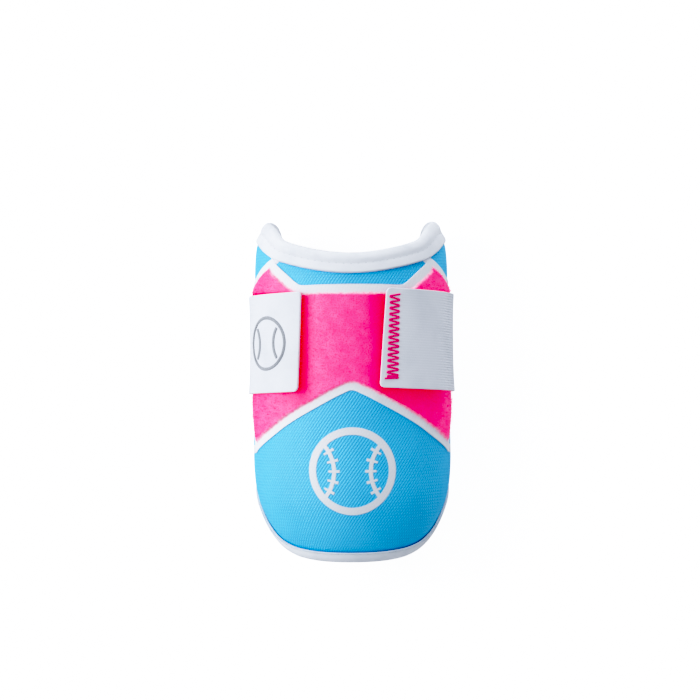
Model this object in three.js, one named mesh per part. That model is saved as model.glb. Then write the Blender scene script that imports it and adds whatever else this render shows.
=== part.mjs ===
// Batter's elbow guard: a foam pad wrapped round the arm and bound at its edge, with a loop fabric
// panel across the front and one wide elastic strap that goes round the back and closes on the panel.
// Millimetres. The guard lies on its open back: +Z is the front of the guard, +Y runs up the arm
// to the horns, and the strap's back run lies flat on the floor at Z = 0.
import * as THREE from 'three';
import { mergeVertices } from 'three/addons/utils/BufferGeometryUtils.js';

const CLEARANCE = 0.3;
const LAYER_GAP = 0.55; // between the curved layers, whose facets do not line up
const MID_HEIGHT = 30; // the pad's widest line above the floor

const PAD_THICKNESS = 6.5;
const LINING_THICKNESS = 0.8;
const CROWN_WIDTH = 14; // band along the cut edge in which the pad thins
const CROWN_OUTER = 2.2; // drop of the cover at the cut edge
const CROWN_INNER = 3.6; // rise of the inner face at the cut edge

const PANEL_SEAT = 0.75; // the panel's inner face over the cover
const PANEL_THICKNESS = 1.0;
const HOOK_THICKNESS = 0.8;
const HOOK_WIDTH = 44;
const HOOK_LENGTH = 33;
const HOOK_SETBACK = 2.6; // from the strap's end to its hook patch

const STRAP_WIDTH = 52.2;
const STRAP_THICKNESS = 1.7;
const STRAP_CORNER = 2.0;
const STRAP_CORNER_CUT = 1.4; // how far a corner's outer row stops short of the end
const STRAP_RUN_OUT = 4; // the path begins this far past each end
const STRAP_REFERENCE_Y = 25; // section of the pad that the strap's path follows
const STRAP_RAMP = 10; // girth over which the strap comes down off a hook patch
const STRAP_LEAVES_PAD = 104; // girth at which the strap leaves the pad for the floor
const STRAP_FLAT_HALF = 36.5; // half of the strap's flat run on the floor
const STRAP_TURN_IN = 2.5; // pull of the turn where it leaves the pad
const STRAP_TURN_OUT = 3.4; // pull of the turn where it meets the floor

const PANEL_TOP = PANEL_SEAT + PANEL_THICKNESS;
const FACET_ALLOWANCE = 0.1;
const STRAP_LIFT = PANEL_TOP + CLEARANCE + FACET_ALLOWANCE;
const STRAP_LIFT_ON_HOOK = STRAP_LIFT + HOOK_THICKNESS + CLEARANCE;
const PAD_INNER = -PAD_THICKNESS;
const LINING_OUTER = PAD_INNER - LAYER_GAP;
const LINING_INNER = LINING_OUTER - LINING_THICKNESS;

// The pad's outer face, one row per section across the arm: half width, and how far the front and
// the back of the section lie from the widest line. The strap draws the sides in about y 24.
const SECTIONS = [
  { y: -96, halfWidth: 35.0, front: 28.0, rear: 36.0 },
  { y: -88, halfWidth: 39.6, front: 33.2, rear: 37.5 },
  { y: -80, halfWidth: 43.4, front: 37.4, rear: 38.6 },
  { y: -70, halfWidth: 47.4, front: 41.6, rear: 39.4 },
  { y: -58, halfWidth: 51.0, front: 44.8, rear: 39.9 },
  { y: -42, halfWidth: 52.7, front: 46.3, rear: 40.0 },
  { y: -26, halfWidth: 52.8, front: 46.6, rear: 40.0 },
  { y: -10, halfWidth: 52.2, front: 46.5, rear: 40.0 },
  { y: 6, halfWidth: 51.1, front: 46.3, rear: 40.0 },
  { y: 24, halfWidth: 50.8, front: 46.2, rear: 40.0 },
  { y: 44, halfWidth: 51.0, front: 46.2, rear: 40.0 },
  { y: 58, halfWidth: 51.7, front: 46.2, rear: 40.0 },
  { y: 70, halfWidth: 51.4, front: 45.8, rear: 39.5 },
  { y: 78, halfWidth: 50.4, front: 45.2, rear: 39.2 },
  { y: 86, halfWidth: 47.9, front: 44.2, rear: 38.8 },
  { y: 94, halfWidth: 45.6, front: 43.0, rear: 38.4 },
];
const REFERENCE_SECTION = { halfWidth: 52.0, front: 46.2, rear: 40.0 };

// The pad's cut edge laid flat, right half from the middle of the rim to the tip of the foot:
// girth from the front centreline, y along the arm, and the reach of the binding in from the edge.
const PAD_EDGE = [
  { girth: 0, y: 70.6, reach: 9.1 },
  { girth: 12, y: 71.4, reach: 9.1 },
  { girth: 24, y: 73.4, reach: 9.1 },
  { girth: 35, y: 75.9, reach: 9.1 },
  { girth: 43.5, y: 78.5, reach: 9.4 },
  { girth: 50.5, y: 82.3, reach: 10.2 },
  { girth: 58.5, y: 86.0, reach: 10.4 },
  { girth: 71, y: 88.1, reach: 9.2 },
  { girth: 85.5, y: 89.4, reach: 6.0, corner: true },
  { girth: 94, y: 87.4, reach: 4.6 },
  { girth: 101.5, y: 81.0, reach: 4.6 },
  { girth: 106.0, y: 70.0, reach: 4.6 },
  { girth: 108.2, y: 54.0, reach: 4.6 },
  { girth: 109.6, y: 36.0, reach: 4.6 },
  { girth: 109.6, y: 12.0, reach: 4.6 },
  { girth: 109.0, y: -10.0, reach: 4.6 },
  { girth: 105.5, y: -27.0, reach: 4.6, corner: true },
  { girth: 97, y: -41.0, reach: 4.6 },
  { girth: 86, y: -54.0, reach: 4.6 },
  { girth: 75, y: -66.0, reach: 4.6 },
  { girth: 66, y: -76.3, reach: 4.6 },
  { girth: 56.5, y: -83.0, reach: 4.6 },
  { girth: 44, y: -87.2, reach: 4.6 },
  { girth: 29, y: -89.3, reach: 4.6 },
  { girth: 14.5, y: -90.1, reach: 4.6 },
  { girth: 0, y: -90.3, reach: 4.6 },
];

// The loop panel's cut edge laid flat, right half from the middle of its top to the chevron's apex.
const PANEL_EDGE = [
  { girth: 0, y: 55.2 },
  { girth: 14, y: 55.2 },
  { girth: 27.7, y: 55.3 },
  { girth: 29.9, y: 56.4 },
  { girth: 37, y: 61.8 },
  { girth: 43.8, y: 66.6 },
  { girth: 47.0, y: 69.2, corner: true },
  { girth: 55.5, y: 65.8 },
  { girth: 65, y: 60.8 },
  { girth: 76, y: 56.2 },
  { girth: 85, y: 47.0 },
  { girth: 90, y: 32.0 },
  { girth: 88, y: 14.0 },
  { girth: 80, y: -3.0 },
  { girth: 72, y: -17.0 },
  { girth: 66.5, y: -28.0 },
  { girth: 65, y: -33.2, corner: true },
  { girth: 59.4, y: -30.8 },
  { girth: 48, y: -25.2 },
  { girth: 34, y: -17.0 },
  { girth: 20, y: -9.4 },
  { girth: 5, y: -1.6 },
  { girth: 0, y: 0.2 },
];

// The binding's roll outside the cut edge: distance in from the edge, and height above the face it
// lies on, first over the cover and then under the lining.
const ROLL_OUTER = [
  { inset: 4.2, lift: 1.6 },
  { inset: 3.0, lift: 1.85 },
  { inset: 1.3, lift: 2.0 },
  { inset: -0.6, lift: 1.4 },
  { inset: -1.5, lift: 0.2 },
];
const ROLL_INNER = [
  { inset: -1.2, lift: 0.4 },
  { inset: 0.6, lift: 1.2 },
];
const ROLL_NOSE = -1.8;
const FLANGE_LIFT = LAYER_GAP + 1.0;
const INNER_REACH = 4.4;
const CHANNEL_END = -0.6; // the channel's floor, just outside the pad's edge
const CHANNEL_STEP = 2.0;

// The strap's middle line along its path from the left end round the back to the right end, and
// the girth at which each end stops, with its lean across the strap's width.
const STRAP_LINE = [
  { place: 0.0, y: 25.9 },
  { place: 0.16, y: 24.3 },
  { place: 0.35, y: 23.1 },
  { place: 0.5, y: 23.2 },
  { place: 0.65, y: 24.0 },
  { place: 0.82, y: 25.5 },
  { place: 1.0, y: 27.9 },
];
const STRAP_LEFT_END = { girth: 26.9, lean: -0.044 };
const STRAP_RIGHT_END = { girth: 15.9, lean: 0.078 };

const PAD_STEPS = { across: 37, along: 17 };
const LINING_STEPS = PAD_STEPS;
const PANEL_STEPS = { across: 30, along: 13 };
const BINDING_STATIONS = 96;
const STRAP_STEPS = 64;

// Value of a table column at x, by a smooth curve through its rows.
function tableValue(rows, xName, name, x) {
  const last = rows.length - 1;
  const at = THREE.MathUtils.clamp(x, rows[0][xName], rows[last][xName]);
  let i = 0;
  while (i < last - 1 && at > rows[i + 1][xName]) {
    i += 1;
  }
  const slope = (k) => {
    const before = rows[Math.max(k - 1, 0)];
    const after = rows[Math.min(k + 1, last)];
    return (after[name] - before[name]) / (after[xName] - before[xName]);
  };
  const span = rows[i + 1][xName] - rows[i][xName];
  const t = (at - rows[i][xName]) / span;
  const rise = t * t * (3 - 2 * t);
  const leave = t * (1 - t) * (1 - t) * span * slope(i);
  const arrive = t * t * (t - 1) * span * slope(i + 1);
  return rows[i][name] + (rows[i + 1][name] - rows[i][name]) * rise + leave + arrive;
}

function sectionPoint(section, angle) {
  const depth = Math.cos(angle) >= 0 ? section.front : section.rear;
  return new THREE.Vector2(section.halfWidth * Math.sin(angle), depth * Math.cos(angle));
}

// Girth reached at each small step of angle round the reference section.
const ANGLE_STEP = Math.PI / 720;
const GIRTH_AT_STEP = [0];
for (let i = 1; i <= 640; i += 1) {
  const from = sectionPoint(REFERENCE_SECTION, (i - 1) * ANGLE_STEP);
  const to = sectionPoint(REFERENCE_SECTION, i * ANGLE_STEP);
  GIRTH_AT_STEP.push(GIRTH_AT_STEP[i - 1] + from.distanceTo(to));
}

function angleAt(girth) {
  const reach = Math.abs(girth);
  let i = 0;
  while (i < GIRTH_AT_STEP.length - 2 && GIRTH_AT_STEP[i + 1] < reach) {
    i += 1;
  }
  const part = (reach - GIRTH_AT_STEP[i]) / (GIRTH_AT_STEP[i + 1] - GIRTH_AT_STEP[i]);
  return Math.sign(girth) * (i + part) * ANGLE_STEP;
}

function facePoint(girth, y) {
  const section = {};
  for (const name of ['halfWidth', 'front', 'rear']) {
    section[name] = tableValue(SECTIONS, 'y', name, y);
  }
  const point = sectionPoint(section, angleAt(girth));
  return new THREE.Vector3(point.x, y, MID_HEIGHT + point.y);
}

// A point of the flat pattern wrapped round the arm, raised off the pad's outer face.
function wrap(girth, y, height) {
  const nudge = 0.02;
  const across = facePoint(girth + nudge, y).sub(facePoint(girth - nudge, y));
  const along = facePoint(girth, y + nudge).sub(facePoint(girth, y - nudge));
  const outward = across.cross(along).normalize();
  return facePoint(girth, y).addScaledVector(outward, height);
}

// A closed outline from the rows of its right half, and the places of its four corners.
function outlineOf(rows) {
  const left = rows.slice(1, -1).reverse();
  const points = [
    ...rows.map((row) => new THREE.Vector3(row.girth, row.y, 0)),
    ...left.map((row) => new THREE.Vector3(-row.girth, row.y, 0)),
  ];
  const marks = [];
  rows.forEach((row, i) => {
    if (row.corner) {
      marks.push(i / points.length);
    }
  });
  const curve = new THREE.CatmullRomCurve3(points, true, 'centripetal');
  return { curve, upper: marks[0], lower: marks[1] };
}

// Part of an outline between two places, read by its share of the length.
function sideOf(outline, from, to) {
  const count = 160;
  const points = [];
  const lengths = [0];
  for (let i = 0; i <= count; i += 1) {
    const place = from + ((to - from) * i) / count;
    points.push(outline.curve.getPoint(THREE.MathUtils.euclideanModulo(place, 1)));
    if (i > 0) {
      lengths.push(lengths[i - 1] + points[i].distanceTo(points[i - 1]));
    }
  }
  return (share) => {
    const wanted = share * lengths[count];
    let i = 0;
    while (i < count - 1 && lengths[i + 1] < wanted) {
      i += 1;
    }
    const part = (wanted - lengths[i]) / (lengths[i + 1] - lengths[i]);
    return points[i].clone().lerp(points[i + 1], part);
  };
}

// A patch that fills an outline: s runs from its left side to its right, t from its foot to its top.
function patchOf(outline) {
  const top = sideOf(outline, -outline.upper, outline.upper);
  const foot = sideOf(outline, 1 - outline.lower, outline.lower);
  const right = sideOf(outline, outline.lower, outline.upper);
  const left = sideOf(outline, 1 - outline.lower, 1 - outline.upper);
  return (s, t) => {
    const point = foot(s).multiplyScalar(1 - t);
    point.addScaledVector(top(s), t);
    point.addScaledVector(left(t), 1 - s);
    point.addScaledVector(right(t), s);
    point.addScaledVector(foot(0), -(1 - s) * (1 - t));
    point.addScaledVector(foot(1), -s * (1 - t));
    point.addScaledVector(top(0), -(1 - s) * t);
    point.addScaledVector(top(1), -s * t);
    return point;
  };
}

function crowded(share, amount) {
  return share - (amount * Math.sin(2 * Math.PI * share)) / (2 * Math.PI);
}

// Distance of a flat point from the pad's cut edge.
const padOutline = outlineOf(PAD_EDGE);
const edgePoints = padOutline.curve.getPoints(480);
const edgeLine = new THREE.Line3();
const nearest = new THREE.Vector3();
function edgeDistance(point) {
  let least = Infinity;
  for (let i = 1; i < edgePoints.length; i += 1) {
    edgeLine.set(edgePoints[i - 1], edgePoints[i]);
    edgeLine.closestPointToPoint(point, true, nearest);
    least = Math.min(least, nearest.distanceTo(point));
  }
  return least;
}

// Share of the full crown at a distance in from the cut edge.
function crown(inset) {
  const share = THREE.MathUtils.clamp(1 - inset / CROWN_WIDTH, 0, 1);
  return share * share;
}

function coverHeight(inset) {
  return -CROWN_OUTER * crown(inset);
}

function liningHeight(inset) {
  return LINING_INNER + CROWN_INNER * crown(inset);
}

// A solid from a closed three.js geometry whose vertices are moved by a rule.
function moulded(geometry, place) {
  const position = geometry.attributes.position;
  const uv = geometry.attributes.uv;
  const at = new THREE.Vector3();
  for (let i = 0; i < position.count; i += 1) {
    at.fromBufferAttribute(position, i);
    const moved = place(at, uv.getX(i), uv.getY(i));
    position.setXYZ(i, moved.x, moved.y, moved.z);
  }
  geometry.deleteAttribute('uv');
  geometry.deleteAttribute('normal');
  const solid = mergeVertices(geometry, 1e-4);
  const index = solid.index.array;
  const corner = [0, 1, 2].map(() => new THREE.Vector3());
  let volume = 0;
  for (let i = 0; i < index.length; i += 3) {
    corner.forEach((c, k) => c.fromBufferAttribute(solid.attributes.position, index[i + k]));
    volume += corner[0].dot(corner[1].clone().cross(corner[2])) / 6;
  }
  if (volume < 0) {
    for (let i = 0; i < index.length; i += 3) {
      const kept = index[i + 1];
      index[i + 1] = index[i + 2];
      index[i + 2] = kept;
    }
  }
  solid.computeVertexNormals();
  return solid;
}

// A layer over a flat patch, between two heights that depend on the distance from the pad's edge.
function layer(patch, steps, crowding, outerHeight, innerHeight) {
  const box = new THREE.BoxGeometry(1, 1, 1, steps.across, steps.along, 1);
  return moulded(box, (at) => {
    const s = crowded(at.x + 0.5, crowding.across);
    const t = crowded(at.y + 0.5, crowding.along);
    const flat = patch(s, t);
    const inset = edgeDistance(flat);
    const height = at.z > 0 ? outerHeight(inset) : innerHeight(inset);
    return wrap(flat.x, flat.y, height);
  });
}

function piece(name, geometry, colour, roughness) {
  const material = new THREE.MeshStandardMaterial({ color: colour, roughness, metalness: 0 });
  material.name = name;
  const mesh = new THREE.Mesh(geometry, material);
  mesh.name = name;
  return mesh;
}

function padPiece() {
  const geometry = layer(
    patchOf(padOutline),
    PAD_STEPS,
    { across: 0.3, along: 0.5 },
    coverHeight,
    (inset) => PAD_INNER + CROWN_INNER * crown(inset),
  );
  return piece('pad', geometry, '#4fb9ee', 0.75);
}

function liningPiece() {
  const geometry = layer(
    patchOf(padOutline),
    LINING_STEPS,
    { across: 0.3, along: 0.5 },
    (inset) => LINING_OUTER + CROWN_INNER * crown(inset),
    liningHeight,
  );
  return piece('lining', geometry, '#c3c8d0', 0.9);
}

function panelPiece() {
  const geometry = layer(
    patchOf(outlineOf(PANEL_EDGE)),
    PANEL_STEPS,
    { across: 0.2, along: 0.3 },
    (inset) => coverHeight(inset) + PANEL_TOP,
    (inset) => coverHeight(inset) + PANEL_SEAT,
  );
  return piece('loop_panel', geometry, '#fb4f9f', 0.95);
}

// The binding's section as a closed ring of flat distance and height, for one reach over the cover.
function bindingSection(reach) {
  const over = (inset, lift) => ({ inset, height: coverHeight(Math.max(inset, 0)) + lift });
  const under = (inset, lift) => ({ inset, height: liningHeight(Math.max(inset, 0)) - lift });
  const nose = (coverHeight(0) + liningHeight(0)) / 2;
  return [
    over(reach, LAYER_GAP),
    over(reach, FLANGE_LIFT),
    over((reach + ROLL_OUTER[0].inset) / 2, FLANGE_LIFT),
    ...ROLL_OUTER.map((row) => over(Math.min(row.inset, reach - 0.2), row.lift)),
    { inset: ROLL_NOSE, height: nose },
    ...ROLL_INNER.map((row) => under(row.inset, row.lift)),
    under(INNER_REACH, FLANGE_LIFT),
    under(INNER_REACH, LAYER_GAP),
    under(CHANNEL_STEP, LAYER_GAP),
    under(CHANNEL_END, LAYER_GAP),
    over(CHANNEL_END, LAYER_GAP),
    over(CHANNEL_STEP, LAYER_GAP),
    over((reach + CHANNEL_STEP) / 2, LAYER_GAP),
  ];
}

// Reach of the binding at a place on the outline, from the rows on either side of it.
function reachAt(place) {
  const rows = [...PAD_EDGE, ...PAD_EDGE.slice(1, -1).reverse()];
  const along = place * rows.length;
  const i = Math.floor(along) % rows.length;
  const next = rows[(i + 1) % rows.length];
  return THREE.MathUtils.lerp(rows[i].reach, next.reach, along - Math.floor(along));
}

function bindingPiece() {
  const sectionCount = bindingSection(PAD_EDGE[0].reach).length;
  const ring = new THREE.TorusGeometry(2, 1, sectionCount, BINDING_STATIONS);
  const stations = [];
  for (let i = 0; i < BINDING_STATIONS; i += 1) {
    const place = i / BINDING_STATIONS;
    const edge = padOutline.curve.getPoint(place);
    const along = padOutline.curve.getTangent(place);
    const inward = new THREE.Vector3(along.y, -along.x, 0);
    stations.push({ edge, inward, section: bindingSection(reachAt(place)) });
  }
  const geometry = moulded(ring, (at, u, v) => {
    const station = stations[Math.round(u * BINDING_STATIONS) % BINDING_STATIONS];
    const row = station.section[Math.round(v * sectionCount) % sectionCount];
    const flat = station.edge.clone().addScaledVector(station.inward, row.inset);
    return wrap(flat.x, flat.y, row.height);
  });
  return piece('edge_binding', geometry, '#e6e9ef', 0.6);
}

// The strap's path in the plane across the arm: down one side, flat along the floor, up the other.
function strapSide(sign, end) {
  const middle = STRAP_THICKNESS / 2;
  const patchEnd = end.girth + HOOK_SETBACK + HOOK_LENGTH;
  const points = [];
  const count = 22;
  for (let i = 0; i <= count; i += 1) {
    const girth = THREE.MathUtils.lerp(end.girth - STRAP_RUN_OUT, STRAP_LEAVES_PAD, i / count);
    const down = THREE.MathUtils.smoothstep(girth, patchEnd, patchEnd + STRAP_RAMP);
    const lift = THREE.MathUtils.lerp(STRAP_LIFT_ON_HOOK, STRAP_LIFT, down);
    points.push(wrap(sign * girth, STRAP_REFERENCE_Y, lift + middle).setY(0));
  }
  return points;
}

function strapPath() {
  const middle = STRAP_THICKNESS / 2;
  const left = new THREE.CatmullRomCurve3(strapSide(-1, STRAP_LEFT_END));
  const right = new THREE.CatmullRomCurve3(strapSide(1, STRAP_RIGHT_END).reverse());
  const turn = (curve, place, sign) => {
    const from = curve.getPoint(place);
    const lean = curve.getTangent(place).multiplyScalar(place === 1 ? STRAP_TURN_IN : -STRAP_TURN_IN);
    const flat = new THREE.Vector3(sign * STRAP_FLAT_HALF, 0, middle);
    const before = flat.clone().setX(sign * (STRAP_FLAT_HALF + STRAP_TURN_OUT));
    return [from, from.clone().add(lean), before, flat];
  };
  const leftTurn = turn(left, 1, -1);
  const rightTurn = turn(right, 0, 1);
  const path = new THREE.CurvePath();
  path.add(left);
  path.add(new THREE.CubicBezierCurve3(...leftTurn));
  path.add(new THREE.LineCurve3(leftTurn[3], rightTurn[3]));
  path.add(new THREE.CubicBezierCurve3(...rightTurn.reverse()));
  path.add(right);
  return path;
}

function strapPiece() {
  const path = strapPath();
  const length = path.getLength();
  const half = STRAP_WIDTH / 2;
  const waist = tableValue(SECTIONS, 'y', 'halfWidth', STRAP_REFERENCE_Y);
  const rows = [-half, -half + STRAP_CORNER, half - STRAP_CORNER, half];
  const box = new THREE.BoxGeometry(1, 1, 1, STRAP_STEPS, rows.length - 1, 1);
  const geometry = moulded(box, (at) => {
    const row = Math.round((at.y + 0.5) * (rows.length - 1));
    const across = rows[row];
    const rounding = STRAP_RUN_OUT + (Math.abs(across) === half ? STRAP_CORNER_CUT : 0);
    const start = (rounding + STRAP_LEFT_END.lean * across) / length;
    const stop = 1 - (rounding + STRAP_RIGHT_END.lean * across) / length;
    const place = THREE.MathUtils.lerp(start, stop, at.x + 0.5);
    const along = path.getTangent(place);
    const outward = new THREE.Vector3(along.z, 0, -along.x);
    const y = tableValue(STRAP_LINE, 'place', 'y', place) + across;
    const spread = tableValue(SECTIONS, 'y', 'halfWidth', y) - waist;
    const lift = at.z * STRAP_THICKNESS + spread * Math.abs(outward.x);
    return path.getPoint(place).addScaledVector(outward, lift).setY(y);
  });
  return piece('strap', geometry, '#e3e6ec', 0.7);
}

function hookPiece(name, sign, end, middleY) {
  const box = new THREE.BoxGeometry(1, 1, 1, 8, 2, 1);
  const from = end.girth + HOOK_SETBACK;
  const geometry = moulded(box, (at) => {
    const girth = from + (at.x + 0.5) * HOOK_LENGTH + end.lean * at.y * HOOK_WIDTH;
    const height = STRAP_LIFT + (at.z + 0.5) * HOOK_THICKNESS;
    return wrap(sign * girth, middleY + at.y * HOOK_WIDTH, height);
  });
  return piece(name, geometry, '#d5d8dd', 0.8);
}

const guard = new THREE.Group();
guard.name = 'elbow_guard';

const body = new THREE.Group();
body.name = 'body';
body.add(padPiece());
body.add(liningPiece());
body.add(panelPiece());
body.add(bindingPiece());
guard.add(body);

const closure = new THREE.Group();
closure.name = 'closure';
closure.add(strapPiece());
closure.add(hookPiece('hook_patch_left', -1, STRAP_LEFT_END, STRAP_LINE[0].y));
closure.add(hookPiece('hook_patch_right', 1, STRAP_RIGHT_END, STRAP_LINE[STRAP_LINE.length - 1].y));
guard.add(closure);

export default guard;
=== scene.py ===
import bpy
import math
import numpy as np
from functools import partial
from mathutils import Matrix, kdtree


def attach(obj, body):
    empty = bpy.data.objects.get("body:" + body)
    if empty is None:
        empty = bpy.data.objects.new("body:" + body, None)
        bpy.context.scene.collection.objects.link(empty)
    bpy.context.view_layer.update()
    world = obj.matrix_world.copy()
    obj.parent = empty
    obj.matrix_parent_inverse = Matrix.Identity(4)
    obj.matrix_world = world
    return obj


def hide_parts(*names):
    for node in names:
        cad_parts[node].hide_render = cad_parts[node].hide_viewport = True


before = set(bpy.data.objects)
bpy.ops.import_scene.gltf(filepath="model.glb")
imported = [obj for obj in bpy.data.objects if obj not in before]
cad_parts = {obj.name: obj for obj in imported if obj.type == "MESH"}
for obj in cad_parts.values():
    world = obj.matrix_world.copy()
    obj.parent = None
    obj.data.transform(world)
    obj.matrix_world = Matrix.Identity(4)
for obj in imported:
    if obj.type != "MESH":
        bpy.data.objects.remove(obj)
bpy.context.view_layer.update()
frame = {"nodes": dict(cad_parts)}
scene = bpy.context.scene
mm = 0.001
print("frame loaded:", ", ".join(frame["nodes"]))

# the form every layer follows, in millimetres, the same sizes as the solids
guardForm = {
    "midHeight": 30.0,        # the widest line above the floor
    "padThickness": 6.5,
    "liningThickness": 0.8,
    "layerGap": 0.55,
    "crownWidth": 14.0,       # band along the edge where the pad thins
    "crownOuter": 2.2,
    "crownInner": 3.6,
    "patchSize": (260.0, 150.0),
    "reference": (52.0, 46.2, 40.0),   # half width, front and rear depth that girth is measured on
    "wrapAngle": 165.0,
    "wrapSteps": 1400,
    "sections": [             # y, half width, front depth, rear depth
        (-96, 35.0, 28.0, 36.0), (-88, 39.6, 33.2, 37.5), (-80, 43.4, 37.4, 38.6), (-70, 47.4, 41.6, 39.4),
        (-58, 51.0, 44.8, 39.9), (-42, 52.7, 46.3, 40.0), (-26, 52.8, 46.6, 40.0), (-10, 52.2, 46.5, 40.0),
        (6, 51.1, 46.3, 40.0), (24, 50.8, 46.2, 40.0), (44, 51.0, 46.2, 40.0), (58, 51.7, 46.2, 40.0),
        (70, 51.4, 45.8, 39.5), (78, 50.4, 45.2, 39.2), (86, 47.9, 44.2, 38.8), (94, 45.6, 43.0, 38.4),
    ],
    "padEdge": [              # girth, y, reach of the binding; right half, rim to foot
        (0, 70.6, 9.1), (12, 71.4, 9.1), (24, 73.4, 9.1), (35, 75.9, 9.1), (43.5, 78.5, 9.4),
        (50.5, 82.3, 10.2), (58.5, 86.0, 10.4), (71, 88.1, 9.2), (85.5, 89.4, 6.0), (94, 87.4, 4.6),
        (101.5, 81.0, 4.6), (106.0, 70.0, 4.6), (108.2, 54.0, 4.6), (109.6, 36.0, 4.6), (109.6, 12.0, 4.6),
        (109.0, -10.0, 4.6), (105.5, -27.0, 4.6), (97, -41.0, 4.6), (86, -54.0, 4.6), (75, -66.0, 4.6),
        (66, -76.3, 4.6), (56.5, -83.0, 4.6), (44, -87.2, 4.6), (29, -89.3, 4.6), (14.5, -90.1, 4.6),
        (0, -90.3, 4.6),
    ],
    "padCorners": (8, 16),    # rows of padEdge at the horn and the lower rear corner
}
padEdge = guardForm["padEdge"]


def tableAt(rows, column, x):
    # smooth curve through a column of a table
    table = np.array([row[:column + 1] for row in rows], float)
    xs, ys = table[:, 0], table[:, column]
    slope = np.gradient(ys, xs)
    slope[1:-1] = (ys[2:] - ys[:-2]) / (xs[2:] - xs[:-2])
    x = np.clip(x, xs[0], xs[-1])
    i = np.clip(np.searchsorted(xs, x) - 1, 0, len(xs) - 2)
    span = xs[i + 1] - xs[i]
    t = (x - xs[i]) / span
    rise = (ys[i + 1] - ys[i]) * t * t * (3 - 2 * t)
    return ys[i] + rise + span * (t * (1 - t) ** 2 * slope[i] + t * t * (t - 1) * slope[i + 1])


def runLength(points):
    return np.concatenate([[0], np.cumsum(np.linalg.norm(np.diff(points, axis=0), axis=1))])


refWidth, refFront, refRear = guardForm["reference"]
refAngles = np.linspace(0, math.radians(guardForm["wrapAngle"]), guardForm["wrapSteps"])
refDepth = np.where(np.cos(refAngles) >= 0, refFront, refRear)
refGirths = runLength(np.stack([refWidth * np.sin(refAngles), refDepth * np.cos(refAngles)], -1))


def facePoint(girth, y):
    angle = np.sign(girth) * np.interp(np.abs(girth), refGirths, refAngles)
    rows = guardForm["sections"]
    depth = np.where(np.cos(angle) >= 0, tableAt(rows, 2, y), tableAt(rows, 3, y))
    z = guardForm["midHeight"] + depth * np.cos(angle)
    return np.stack([tableAt(rows, 1, y) * np.sin(angle), y, z], -1)


def wrapOn(girth, y, height):
    girth, y, height = np.broadcast_arrays(*(np.asarray(value, float) for value in (girth, y, height)))
    nudge = 0.02
    across = facePoint(girth + nudge, y) - facePoint(girth - nudge, y)
    along = facePoint(girth, y + nudge) - facePoint(girth, y - nudge)
    outward = np.cross(across, along)
    outward /= np.linalg.norm(outward, axis=-1, keepdims=True)
    return facePoint(girth, y) + outward * height[..., None]


def layOn(flat, height):
    return wrapOn(flat[..., 0], flat[..., 1], height)


def closedOutline(rows):
    # smooth closed line through the right half's rows and their mirror
    points = np.array([r[:2] for r in rows] + [(-r[0], r[1]) for r in rows[-2:0:-1]], float)
    count = len(points)

    def at(place):
        place = np.mod(np.asarray(place, float), 1.0) * count
        i = np.floor(place).astype(int)
        t = (place - i)[..., None]
        p0, p1, p2, p3 = (points[(i + k) % count] for k in (-1, 0, 1, 2))
        spans = ((p0, p1), (p1, p2), (p2, p3))
        d0, d1, d2 = (np.sqrt(np.linalg.norm(b - a, axis=-1, keepdims=True)) for a, b in spans)
        m1 = ((p1 - p0) / d0 - (p2 - p0) / (d0 + d1) + (p2 - p1) / d1) * d1
        m2 = ((p2 - p1) / d1 - (p3 - p1) / (d1 + d2) + (p3 - p2) / d2) * d1
        return p1 + m1 * t + (3 * (p2 - p1) - 2 * m1 - m2) * t ** 2 + (2 * (p1 - p2) + m1 + m2) * t ** 3

    return at


def outlineSide(at, start, stop, shares):
    points = at(np.linspace(start, stop, 900))
    lengths = runLength(points)
    wanted = np.asarray(shares) * lengths[-1]
    return np.stack([np.interp(wanted, lengths, points[:, k]) for k in (0, 1)], -1)


def gradedShares(count, length, nearEdge):
    # even steps, with extra rows close to both ends
    even = np.linspace(0, 1, count)
    near = np.array(nearEdge) / length
    return np.unique(np.concatenate([even, near, 1 - near]).round(6))


def outlinePatch(rows, corners, form, size):
    # fills an outline with a grid, rows from foot to top, columns from left to right
    s = gradedShares(form["columns"], size[0], form["edgeRows"])
    t = gradedShares(form["rows"], size[1], form["edgeRows"])
    at = closedOutline(rows)
    count = 2 * len(rows) - 2
    upper, lower = corners[0] / count, corners[1] / count
    top = outlineSide(at, -upper, upper, s)[None]
    foot = outlineSide(at, 1 - lower, lower, s)[None]
    right = outlineSide(at, lower, upper, t)[:, None]
    left = outlineSide(at, 1 - lower, 1 - upper, t)[:, None]
    sw, tw = s[None, :, None], t[:, None, None]
    flat = (1 - tw) * foot + tw * top + (1 - sw) * left + sw * right
    flat -= (1 - sw) * ((1 - tw) * foot[:, :1] + tw * top[:, :1])
    flat -= sw * ((1 - tw) * foot[:, -1:] + tw * top[:, -1:])
    return flat


def edgeDistance(rows, flat):
    line = closedOutline(rows)(np.linspace(0, 1, 6000, endpoint=False))
    tree = kdtree.KDTree(len(line))
    for i, point in enumerate(line):
        tree.insert((point[0], point[1], 0), i)
    tree.balance()
    found = [tree.find((p[0], p[1], 0))[1:] for p in flat.reshape(-1, 2)]
    place, distance = np.array(found).T.reshape(2, *flat.shape[:-1])
    return distance, place / len(line)


def edgeBand(rows, place):
    # width of the band inside an outline, from the rows' third column
    bands = [row[2] for row in rows] + [row[2] for row in rows[-2::-1]]
    return np.interp(np.mod(place, 1) * (len(bands) - 1), np.arange(len(bands)), bands)


def flatArea(rows):
    x, y = closedOutline(rows)(np.linspace(0, 1, 2000, endpoint=False)).T
    return abs(np.dot(x, np.roll(y, -1)) - np.dot(y, np.roll(x, -1))) / 2 * mm * mm


def crown(inset):
    return np.clip(1 - inset / guardForm["crownWidth"], 0, 1) ** 2


def coverHeight(inset):
    return -guardForm["crownOuter"] * crown(inset)


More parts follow.
